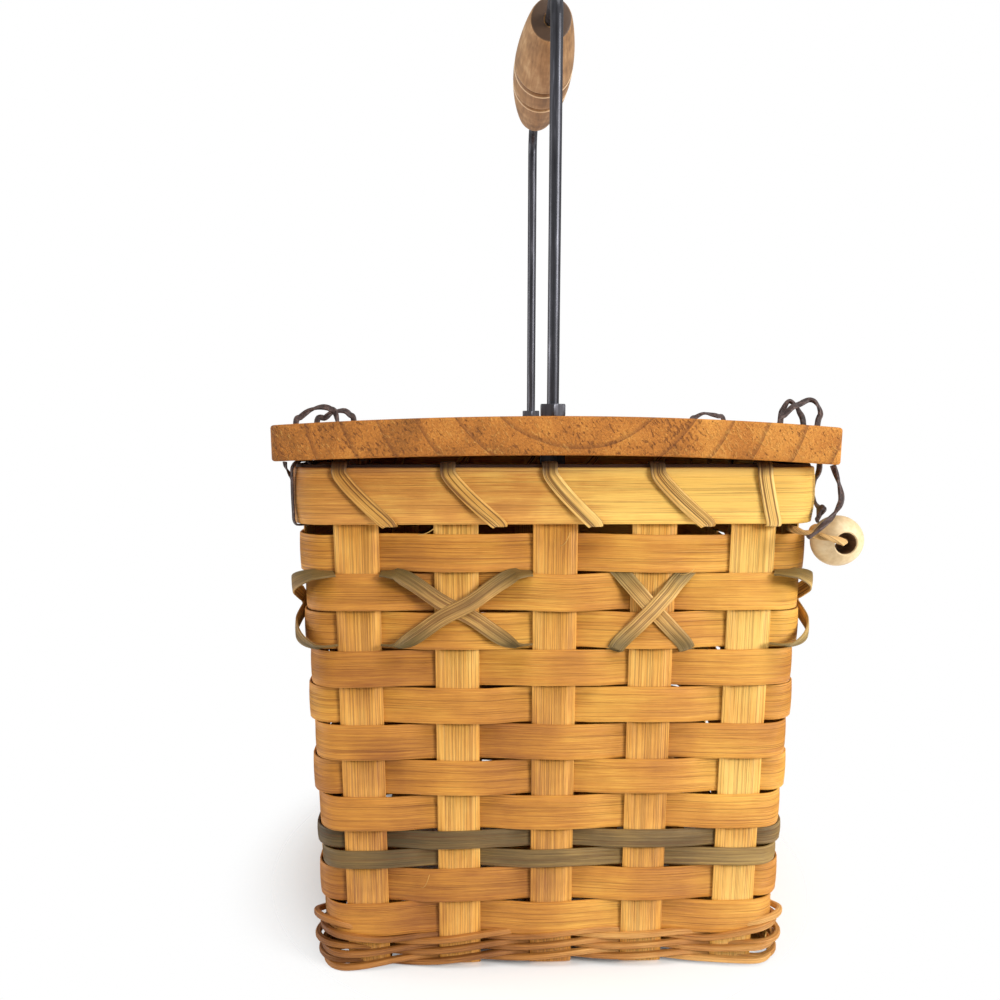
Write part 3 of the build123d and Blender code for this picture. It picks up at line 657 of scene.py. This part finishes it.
for name, climbs in (("cross_strips_rising", True), ("cross_strips_falling", False)):
    lines = []
    for i, s0 in enumerate(stake_s):
        if i % 2 == 0:
            continue
        # a long X ends half a millimetre short of the stakes on both sides
        before = (s0 - stake_s[i - 1]) % way_round - stake_w / 2 - 0.5
        after = (stake_s[(i + 1) % len(stake_s)] - s0) % way_round - stake_w / 2 - 0.5
        over = over_other if climbs else 0.0
        points, ways = [], []
        for k in range(-cross_steps, cross_steps + 1):
            f, way = abs(k) / cross_steps, (-1 if k < 0 else 1)
            run = f
            corner = i % 5 == (0 if k < 0 else 4)
            if i in short_crosses:      # the upper ends pass in under row 1, the lower ones behind row 4
                up = (way > 0) == climbs
                reach, zf, tip_from = short_reach, 1.3 * f, 2.0         # they never turn on edge
                if up:
                    dive = ((0.62, 0.9), (0.88, 0.1), (1.0, -0.1))
                else:           # and turn straight down
                    dive = ((0.62, 2.3), (0.85, 1.9), (0.93, -1.0), (1.0, -1.9))
                    run = 1.05 * (f - max(0.0, f - 0.68) ** 2 / 0.64)
                o = eased(f, (0.0, x_off + over), (0.3, x_off + 0.5 * over), *dive)
            else:
                reach, zf, tip_from = (before if k < 0 else after), min(1.0, f / 0.8), 0.5
                zf = zf - 0.035 * math.sin(2 * math.pi * zf)
                o = eased(f, (0.0, x_off + over), (0.4, x_off + 0.3 * over), (0.8, x_off), (1.0, 0.6))
            if corner:          # the strip stands off in a loose loop
                o += loop_out * math.sin(math.pi * max(0.0, (f - 0.2) / 0.8))
            rising = way if climbs else -way
            z = x_mid + rising * x_rise * zf
            x, y, nx, ny = around(s0 + way * reach * run, o, z)
            points.append((x, y, z))
            tip = end_turn * smooth_step((f - tip_from) / 0.42) * rising
            ways.append((nx * math.cos(tip), ny * math.cos(tip), math.sin(tip)))
        lines.append((points, ways, False, random.uniform(0, 1)))
    strips = reeds(name + "_reed", lines, shown_cross_w, strip_t, sage_strip, crown=0.3, seed=8.0)
    stand_for(strips, "basket", "green_reed", name)

# frayed fibres at the reeds' edges: where each starts, and how far it runs along the wall and up
hairs = []
for s0, z0, along_mm, up_mm in ((2, 240, 5, 7), (-70, 246, 8, 3), (-72, 50, 5, 8), (64, 225, 7, 3)):
    points = []
    for j in range(9):
        f = j / 8
        x, y, nx, ny = around(s0 + along_mm * f, 2.9 + 2.2 * math.sin(2.6 * f), z0 + up_mm * f * f)
        points.append((x, y, z0 + up_mm * f * f))
    hairs.append((points, [(0.0, -1.0, 0.0)] * 9, False, 0.9))
hair_w, hair_t = 0.34, 0.3
frays = reeds("frayed_fibres", hairs, hair_w, hair_t, lash_reed, crown=0.0)
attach(frays, "basket")

# rim
band_top = rim_top + 2.6        # the bands' rounded upper edges hide the filler's sides
rim_mid = (rim_z + band_top) / 2
bands = (("rim_outer", 2.35, 2.9, 1.2, 1), ("rim_inner", -2.4, 3.0, 0.6, -1))
for name, middle, thick, crown, way in bands:
    points, ways, closed, *_ = ring(rim_mid, line_step, stake_s[12], lambda s, m=middle: m)
    ways = [(way * nx, way * ny, 0.0) for nx, ny, _ in ways]
    band = reeds(name + "_reed", [(points, ways, closed, 0.6)], band_top - rim_z, thick, rim_reed,
                 crown=crown, edge_r=round_edge)
    stand_for(band, "basket", "reed", name)

filler_d = 3.8
filler_z = (low("rim_filler") + high("rim_filler")) / 2
line = ring(filler_z, line_step, stake_s[12], lambda s: 0.0)
filler = reeds("rim_filler_reed", [line], filler_d, filler_d, lid_shaded_filler_reed, crown=0.0, uneven=0.8, wave=60.0,
               edge_r=round_edge)
stand_for(filler, "basket", "round_reed", "rim_filler")

# each lashing: a strip wrapped round the rim's section, slanted over both faces
out_off, in_off, cap = 5.55, 5.1, lash_top - 0.6       # how far out, in and up its middle runs
section = [(-in_off, rim_z + 2), (-in_off, rim_mid), (-in_off, rim_top), (-in_off + 0.7, rim_top + 2.8),
           (-2.6, cap - 0.2), (0.0, cap), (2.8, cap - 0.2), (out_off - 0.8, rim_top + 2.9),
           (out_off - 0.1, rim_top + 0.6), (out_off, rim_top - 4), (out_off + 0.1, rim_mid + 4),
           (out_off + 0.1, rim_mid - 3), (out_off, rim_z + 6), (out_off - 0.1, rim_z + 2),
           (out_off - 1.1, rim_z - 0.2), (2.5, rim_z - 0.7), (-2.5, rim_z - 0.7),
           (-in_off + 0.9, rim_z - 0.1)]
front_low = (-84.0, -28.5, 20.0, 77.0, 110.5)           # where a side's lashings pass the rim's foot
front_high = (-108.5, -54.5, -3.5, 50.5, 104.5)         # and its top
shown_lash_w = lash_w - 0.9


def wrapped(s_low, s_high, shade, out=0.0, loop=section):
    """a strip round the rim's section, from s_high at the top, ever flatter, to s_low at the foot"""
    points, ways, fine = [], [], []
    n = len(loop)
    for i in range(n):
        near = [Vector(loop[(i + j) % n]) for j in (-1, 0, 1, 2)]
        fine += [curve_point(*near, j / 3) for j in range(3)]
    for i, (o, z) in enumerate(fine):
        po, pz = fine[i - 1]
        qo, qz = fine[(i + 1) % len(fine)]
        f = min(1.0, max(0.0, (z - rim_z) / rim_h))
        x, y, nx, ny = around(s_high + (s_low - s_high) * (1 - f) ** 1.2, o + math.copysign(out, o), z)
        outward, up = qz - pz, -(qo - po)
        ln = -math.hypot(outward, up)
        points.append((x, y, z))
        ways.append((nx * outward / ln, ny * outward / ln, up / ln))
    return points, ways, True, shade


lines = []
for k in range(4):
    for s_low, s_high in zip(front_low, front_high):
        lines.append(wrapped(k * side_len + s_low, k * side_len + s_high, random.uniform(0.3, 1.0)))
lashings = reeds("rim_lashing_reed", lines, shown_lash_w, strip_t, lash_reed, crown=0.25, seed=4.0)
stand_for(lashings, "basket", "reed", "rim_lashing")


# laces
def smooth_line(control, parts=8):
    """points of a smooth line through the control points"""
    pts = [Vector(c) for c in control]
    pts = [2 * pts[0] - pts[1]] + pts + [2 * pts[-1] - pts[-2]]
    line = []
    for near in zip(pts, pts[1:], pts[2:], pts[3:]):
        line += [curve_point(*near, j / parts) for j in range(parts)]
    return line + [pts[-2]]


def twisted(control, turn_mm=38.0):
    """a lace through the control points, twisted once every turn_mm"""
    line = smooth_line(control)
    ways, run, side = [], 0.0, Vector((0.3, 1.0, 0.2))
    for i, p in enumerate(line):
        t = (line[min(len(line) - 1, i + 1)] - line[max(0, i - 1)]).normalized()
        side = (side - t * side.dot(t)).normalized()
        run += (p - line[i - 1]).length if i else 0.0
        a = 2 * math.pi * run / turn_mm
        ways.append(tuple(side * math.cos(a) + t.cross(side) * math.sin(a)))
    return [tuple(p) for p in line], ways, False, random.uniform(0, 1)


lid_x, lid_y, lid_t = 281.0, 286.0, 19.0
lid_cup = 3.0                           # how much lower its left and right edges lie than its middle
lid_r = ((lid_x / 2) ** 2 + lid_cup ** 2) / (2 * lid_cup)
lid_warp = 2.0                          # how much lower still the right edge has come
lid_fall, lid_thinner = 1.5, 0.7        # how much thinner the board is at its left and its right end


def lid_under(x):
    """height of the underside at x"""
    cupped = board_over - lid_t - lid_r + math.sqrt(lid_r ** 2 - x * x)
    return cupped - lid_warp * max(0.0, 2 * x / lid_x) ** 2


def lid_over(x):
    """height of the top at x"""
    return lid_under(x) + lid_t - (lid_fall if x < 0 else lid_thinner) * (2 * x / lid_x) ** 2


def lace(y, *control):
    """lace through the lid at y: its control points are x, the height over the lid's top and, where it
    strays, a step along y"""
    return twisted([(x, y + sum(step), lid_over(x) + h) for x, h, *step in control])


in_hole = -17           # the laces end near the foot of the board's holes
hinge = [lace(-121.0, (-133, in_hole), (-132.2, 0.8), (-129.6, 3.6), (-124.6, 6.8), (-119.2, 7.9),
              (-114.6, 6.8), (-111.6, 3.0), (-109.7, in_hole)),
         lace(-115, (-123.3, in_hole), (-122.6, 1.2), (-118.4, 2.6), (-114.5, 5.2), (-108.6, 5.6),
              (-105.6, 3.4), (-103.7, 0.4), (-103.5, in_hole))]
closure = [lace(-124, (134, in_hole), (134.3, 1.5), (135.4, 7.0), (132.6, 12.0), (129.0, 13.0),
                (124.5, 10.6), (120.6, 8.6), (117.2, 4.4), (114.6, 0.6), (114, in_hole)),
           lace(-117, (130, in_hole), (129.6, 1.2), (126.9, 7.2), (124.6, 10.4), (121.4, 12.0),
                (119.0, 8.4), (117.6, 3.2), (118, in_hole))]

# the two ends that hang from the lid's corner, beside the bead and behind it
drop_top = lid_under(139.2)
drop = [(139.2, -134.6, drop_top - 0.4), (142.0, -135.2, 273.0), (143.8, -136.4, 265.0),
        (142.1, -138.6, 260.4), (137.3, -143.0, 255.8), (130.9, -146.4, 251.2), (125.8, -147.6, 247.0),
        (124.0, -146.4, 245.8)]
closure.append(twisted(drop))
behind = [(137.9, -121, lid_under(138.2) - 0.2), (138.2, -119.5, 276.5), (138.9, -111, 269.0),
          (139.0, -111, 263.0), (138.2, -120, 259.4), (136.8, -127, 258.4), (135.2, -130.4, 254.6),
          (134.4, -132.4, 256.6), (136.2, -132.6, 259.4), (138.0, -130.4, 258.0), (136.8, -129.2, 254.9),
          (134.8, -130.8, 253.2), (133.9, -132.2, 252.6)]
closure.append(twisted(behind))
rear = [lace(8.0, (101, in_hole), (101.6, 1.2), (105, 4.2), (110, 6.8), (115.2, 6.4), (119.0, 5.6, -1.5),
             (123.4, 3.4), (125, in_hole))]
lace_w, lace_t = 2.9, 1.5
laces = (("hinge_lace_front", hinge), ("closure_lace_front", closure), ("closure_lace_rear", rear))
for name, lines in laces:
    thongs = reeds(name + "_thong", lines, lace_w, lace_t, lace_leather, crown=0.2)
    stand_for(thongs, "lid", "lace", name)

# the lower half of the hinge lace: round the rim, close under the lid
rim_lace_s = 3 * side_len + half_flat + 9.0
under_hole = [(o, z + (0.6 if z > rim_top else 0.0)) for o, z in section]
line = wrapped(rim_lace_s, rim_lace_s, 0.5, out=0.35, loop=under_hole)
link = twisted([(-139.4, -118.0, lid_under(-139.4) - 1.2), (-139.4, -117.0, 279.0), (-138.9, -113.5, 276.2),
                (-138.2, -109.0, 273.4), (-137.9, -107.0, 270.5)])
rim_lace_w, rim_lace_t = 2.4, 0.8       # drawn tight, it lies flatter
rim_thong = reeds("hinge_lace_rim_thong", [line, link], rim_lace_w, rim_lace_t, lace_leather, crown=0.2)
stand_for(rim_thong, "basket", "lace", "hinge_lace_rim")

# the bead's tie
bead_x, bead_y, bead_z = 144.8, -132.0, 242.0
bead_d, bore_d = 26.0, 8.6
tie_w, tie_t = 3.5, 2.2
tie_z = wall_top + 2.35
hole_x, hole_z = bead_x - 2.2, bead_z + 1.2         # where the tie lies in the bead's bore
tie = [(122, -124.5, tie_z), (122, -134.0, tie_z), (124.5, -140.0, tie_z - 0.5),
       (131.0, -145.0, tie_z - 2.0), (138.0, -148.2, tie_z - 3.4), (hole_x - 0.6, -147.0, hole_z),
       (hole_x, -142.0, hole_z), (hole_x, -132.0, hole_z), (hole_x, -115.0, hole_z)]
knot_r, knot_y = 3.6, -113.6
knot = []
for a in [i * 0.5 for i in range(24)]:
    y = knot_y + 1.2 * math.sin(2.4 * a)
    knot.append((hole_x + knot_r * math.cos(a), y, hole_z + knot_r * math.sin(a)))
lines = [twisted(tie, 26.0), twisted(knot, 30.0)]
raffia = reeds("bead_tie_raffia", lines, tie_w, tie_t, tie_reed, crown=0.3)
stand_for(raffia, "basket", "tie", "bead_tie")


# turned and forged pieces
def mesh_piece(name, bm, material, smooth_deg=35.0):
    """a piece whose faces are smooth apart from edges sharper than smooth_deg"""
    mesh = bpy.data.meshes.new(name)
    bmesh.ops.recalc_face_normals(bm, faces=bm.faces)
    for f in bm.faces:
        f.smooth = True
    for e in bm.edges:
        e.smooth = len(e.link_faces) == 2 and e.calc_face_angle(0.0) < math.radians(smooth_deg)
    bm.to_mesh(mesh)
    bm.free()
    mesh.materials.append(material)
    piece = bpy.data.objects.new(name, mesh)
    bpy.context.collection.objects.link(piece)
    return piece


def join_rings(bm, rings):
    """faces between each ring of corners and the next, and between the last and the first"""
    sides = len(rings[0])
    for p, q in zip(rings, rings[1:] + rings[:1]):
        for j in range(sides):
            bm.faces.new((p[j], p[(j + 1) % sides], q[(j + 1) % sides], q[j]))


def lathe(bm, outline, centre, sides=64):
    """closed (radius, y) outline turned about a Y axis"""
    cx, cy, cz = centre
    rings = []
    for r, y in outline:
        corners = []
        for j in range(sides):
            a = 2 * math.pi * j / sides
            x, z = cx + r * math.cos(a), cz + r * math.sin(a)
            corners.append(bm.verts.new((x * MM, (cy + y) * MM, z * MM)))
        rings.append(corners)
    join_rings(bm, rings)


grip_low, grip_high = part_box("grip")
grip_half = (grip_high[1] - grip_low[1]) / 2 / MM
grip_r = (grip_high[2] - grip_low[2]) / 2 / MM
grip_z = (grip_high[2] + grip_low[2]) / 2 / MM
grip_end_r = 11.0
groove_half, groove_deep, grip_bore_r = 3.2, 2.6, 3.3


def grip_radius(y):
    """radius at the distance y from the grip's middle"""
    r = grip_end_r + (grip_r - grip_end_r) * math.cos(math.pi / 2 * min(1.0, y / grip_half)) ** 0.8
    d = abs(y - groove_y)
    return r - (groove_deep * (1 - (d / groove_half) ** 1.5) if d < groove_half else 0.0)


step = 0.8
half = [(grip_radius(i * step), i * step) for i in range(int((grip_half - 1.5) / step))]
half += [(grip_end_r + 0.3, grip_half - 1.2), (grip_end_r - 0.1, grip_half - 0.3),
         (grip_end_r - 0.9, grip_half), (grip_bore_r + 0.8, grip_half), (grip_bore_r, grip_half - 0.8)]
bm = bmesh.new()
lathe(bm, [(r, -y) for r, y in half[:0:-1]] + half, (0, 0, grip_z))
stand_for(mesh_piece("grip_turned", bm, worn_grip), "grip", "turned_wood", "grip")

bead_r, bored_r = bead_d / 2, bore_d / 2 + 1.1
lip = math.asin((bored_r + 0.7) / bead_r)
turns = [lip + (math.pi - 2 * lip) * i / 30 for i in range(31)]
ball = [(bead_r * math.sin(a), -bead_r * math.cos(a)) for a in turns]
depth = ball[-1][1]
ball += [(bored_r + 0.25, depth - 0.1), (bored_r, depth - 0.8), (bored_r, 0.0), (bored_r, -depth + 0.8),
         (bored_r + 0.25, -depth + 0.1)]
bm = bmesh.new()
lathe(bm, ball, (bead_x, bead_y, bead_z), 48)
bead = mesh_piece("bead_turned", bm, pale_bead)
bead.data.materials.append(bore_painted_shade)
for f in bead.data.polygons:
    off_axis = math.hypot(f.center.x / MM - bead_x, f.center.z / MM - bead_z)
    f.material_index = 1 if off_axis < bored_r + 0.1 else 0        # the bore's faces
stand_for(bead, "bead", "bead_wood", "bead")


def hex_nut(bm, y, z0, z1, af=12.7, bore_r=3.3):
    """nut from z0 to z1, so wide across its flats, with its upper and lower corners rounded off"""
    sides = 48
    corner_at = math.pi / 6             # the hexagon's corners lie at 30 degrees and every 60 degrees on
    corner_out = af / 2 / math.cos(corner_at)
    rings = []
    # heights, and the share of the corners' radius that is left there: 0 stands for the bore
    levels = ((z0, 0.0), (z0, 0.88), (z0 + 0.35, 0.94), (z0 + 1.0, 1.0),
              (z1 - 1.0, 1.0), (z1 - 0.35, 0.94), (z1, 0.88), (z1, 0.0))
    for z, left in levels:
        corners = []
        for j in range(sides):
            a = 2 * math.pi * j / sides
            from_flat = (a + corner_at) % (2 * corner_at) - corner_at
            flat = af / 2 / math.cos(from_flat)
            r = bore_r if left == 0.0 else min(flat, corner_out * left)
            corners.append(bm.verts.new((r * math.cos(a) * MM, (y + r * math.sin(a)) * MM, z * MM)))
        rings.append(corners)
    join_rings(bm, rings)


rod_y = 106.0           # from the lid's middle to each upright
for name in ("handle_nuts_upper", "handle_nuts_lower"):
    bm = bmesh.new()
    for y in (-rod_y, rod_y):
        hex_nut(bm, y, low(name), high(name))
    stand_for(mesh_piece(name + "_forged", bm, steel, 25.0), "lid", "steel", name)

# the lid: a cupped board with its edges rounded by sanding
lid_corner_r, lid_edge_r, cut_step = 3.4, 1.5, 8.0
bm = bmesh.new()
bmesh.ops.create_cube(bm, size=1.0)
bmesh.ops.scale(bm, vec=(lid_x * MM, lid_y * MM, lid_t * MM), verts=bm.verts)
upright = [e for e in bm.edges if abs(e.verts[0].co.z - e.verts[1].co.z) > 0.001]
bmesh.ops.bevel(bm, geom=upright, offset=lid_corner_r * MM, segments=5, profile=0.5, affect="EDGES")
around_edge = []
for e in bm.edges:
    sides = e.link_faces
    if len(sides) == 2 and abs(sides[0].normal.z - sides[1].normal.z) > 0.5:
        around_edge.append(e)
bmesh.ops.bevel(bm, geom=around_edge, offset=lid_edge_r * MM, segments=3, profile=0.5, affect="EDGES")
for k in range(-17, 18):        # cut across, so that it can bend
    whole = bm.verts[:] + bm.edges[:] + bm.faces[:]
    bmesh.ops.bisect_plane(bm, geom=whole, plane_co=(k * cut_step * MM, 0, 0), plane_no=(1, 0, 0))
for v in bm.verts:
    x = v.co.x / MM
    share = v.co.z / (lid_t * MM) + 0.5         # 0 at the underside, 1 at the top
    v.co.z = (lid_under(x) + (lid_over(x) - lid_under(x)) * share) * MM
stand_for(mesh_piece("lid_board_sanded", bm, board), "lid", "board", "lid_board")
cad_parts["handle_rod"].data.materials.clear()
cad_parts["handle_rod"].data.materials.append(steel)

# floor
floor_mesh = bpy.data.meshes.new("floor")
floor_half = 6          # metres
corners = [(-floor_half, -floor_half, 0), (floor_half, -floor_half, 0), (floor_half, floor_half, 0),
           (-floor_half, floor_half, 0)]
floor_mesh.from_pydata(corners, [], [(0, 1, 2, 3)])
floor = bpy.data.objects.new("floor", floor_mesh)
bpy.context.collection.objects.link(floor)

# matt paper white: it keeps the soft shadow under the basket and fades into the white round it
paper, paper_tree, paper_shader = new_material("pale floor that fades into the background")
fade_from, fade_to = 0.11, 0.22         # distances from the basket's middle
paper_shader.inputs["Base Color"].default_value = rgb("#F6F6F4")
paper_shader.inputs["Roughness"].default_value = 0.9
paper_shader.inputs["Specular IOR Level"].default_value = 0.0
spot = node(paper_tree, "ShaderNodeTexCoord").outputs["Object"]
away = node(paper_tree, "ShaderNodeVectorMath", {"operation": "LENGTH"}, i0=spot).outputs["Value"]
seen = node(paper_tree, "ShaderNodeLightPath").outputs["Is Camera Ray"]
fade = node(paper_tree, "ShaderNodeMapRange", {"interpolation_type": "SMOOTHSTEP"}, Value=away,
            From_Min=fade_from, From_Max=fade_to).outputs[0]
fade = node(paper_tree, "ShaderNodeMath", times, i0=fade, i1=seen).outputs[0]
clear = node(paper_tree, "ShaderNodeBsdfTransparent").outputs[0]
mixed = node(paper_tree, "ShaderNodeMixShader", i0=fade, i1=paper_shader.outputs[0], i2=clear).outputs[0]
paper_tree.links.new(mixed, paper_tree.nodes["Material Output"].inputs["Surface"])
floor.data.materials.append(paper)

# light: a white room, bright to the camera and dimmer on the basket, and four lamps
world = bpy.data.worlds.new("studio")
bpy.context.scene.world = world
world.use_nodes = True
back = world.node_tree.nodes["Background"]
seen = node(world.node_tree, "ShaderNodeLightPath").outputs["Is Camera Ray"]
strength = node(world.node_tree, "ShaderNodeMapRange", Value=seen, To_Min=0.38, To_Max=1.0).outputs[0]
world.node_tree.links.new(strength, back.inputs["Strength"])
back.inputs["Color"].default_value = rgb("#FFFFFF")


def lamp(name, place, target, size, power):
    """square lamp at a place, turned to a target, sizes in metres and power in watts"""
    data = bpy.data.lights.new(name, "AREA")
    data.shape, data.size, data.energy = "SQUARE", size, power
    o = bpy.data.objects.new(name, data)
    bpy.context.collection.objects.link(o)
    o.location = place
    o.rotation_euler = (Vector(target) - Vector(place)).to_track_quat("-Z", "Y").to_euler()


lamp("key", (1.0, -0.8, 0.7), (0, 0, 0.2), 0.45, 16)
lamp("fill", (-1.3, -1.0, 0.7), (0, 0, 0.2), 1.2, 2)
lamp("edge", (-1.4, -0.05, 0.5), (0, 0, 0.2), 0.6, 9)
lamp("top", (0.3, -0.4, 1.7), (0, 0, 0.2), 0.9, 10)

# camera
picture = 1000          # the picture's width, the unit of the next three
focal = 830.0
horizon = 425.0         # from its top down
aside = 15.0            # how far right of the straight view the camera looks
tilt = 0.17             # tangent of the downward tilt
camera = bpy.data.cameras.new("camera")
camera.sensor_width = 36.0
camera.sensor_fit = "HORIZONTAL"
camera.lens = camera.sensor_width * focal / picture
camera.shift_y = (horizon + focal * tilt - picture / 2) / picture
eye = bpy.data.objects.new("camera", camera)
bpy.context.collection.objects.link(eye)
eye.location = (-0.036, -0.552, 0.3006)
look = Vector((aside / focal, 1.0, -tilt))
eye.rotation_euler = look.to_track_quat("-Z", "Y").to_euler()
bpy.context.scene.camera = eye
bpy.context.scene.view_settings.view_transform = "Standard"
